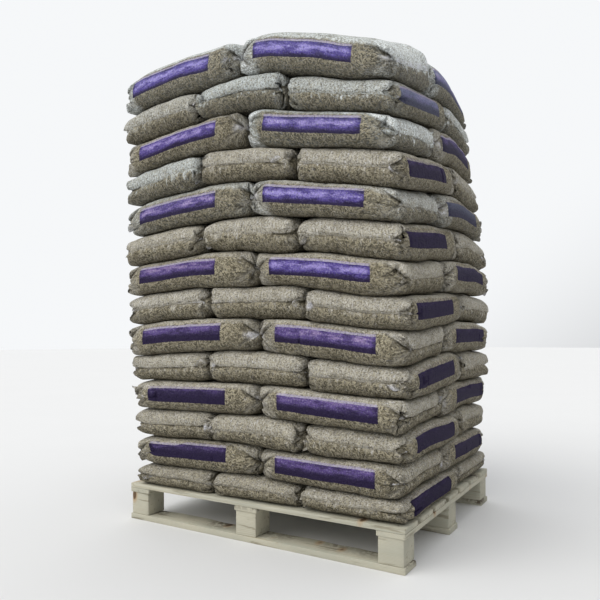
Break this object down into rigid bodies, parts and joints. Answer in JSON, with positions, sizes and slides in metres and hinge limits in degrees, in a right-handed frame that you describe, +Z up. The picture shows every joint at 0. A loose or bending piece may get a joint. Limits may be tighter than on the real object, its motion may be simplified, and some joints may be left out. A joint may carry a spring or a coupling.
{
  "type": "pallet of sacks",
  "caption": "Wooden nine-block pallet loaded with cross-stacked layers of clear film sacks filled with wood pellets, each with a plain printed band.",
  "frame": {"origin": "on the floor, on the underside of the pallet's middle bottom board, at the middle of the pallet", "axes": "+Z up, +X along the pallet's 1200 mm side, +Y into its 1000 mm depth, away from the face that carries two long sacks in every second layer"},
  "size_m": [1.241, 1.024, 1.9062],
  "materials": {
    "filled_sack": "clear crinkled film over beige wood pellets, with a plain violet band",
    "pallet_wood": "rough sawn pale softwood, with knots and a little bark"
  },
  "bodies": {
    "root": {"bottom_board_front": "pallet_wood", "bottom_board_middle": "pallet_wood", "bottom_board_back": "pallet_wood", "block_front_left": "pallet_wood", "block_front_middle": "pallet_wood", "block_front_right": "pallet_wood", "block_middle_left": "pallet_wood", "block_middle_middle": "pallet_wood", "block_middle_right": "pallet_wood", "block_back_left": "pallet_wood", "block_back_middle": "pallet_wood", "block_back_right": "pallet_wood", "stringer_board_left": "pallet_wood", "stringer_board_middle": "pallet_wood", "stringer_board_right": "pallet_wood", "deck_board_1": "pallet_wood", "deck_board_2": "pallet_wood", "deck_board_3": "pallet_wood", "deck_board_4": "pallet_wood", "deck_board_5": "pallet_wood", "deck_board_6": "pallet_wood", "deck_board_7": "pallet_wood", "sack_layer_01": "filled_sack", "sack_layer_02": "filled_sack", "sack_layer_03": "filled_sack", "sack_layer_04": "filled_sack", "sack_layer_05": "filled_sack", "sack_layer_06": "filled_sack", "sack_layer_07": "filled_sack", "sack_layer_08": "filled_sack", "sack_layer_09": "filled_sack", "sack_layer_10": "filled_sack", "sack_layer_11": "filled_sack", "sack_layer_12": "filled_sack", "sack_layer_13": "filled_sack", "sack_layer_14": "filled_sack"}
  },
  "joints": []
}
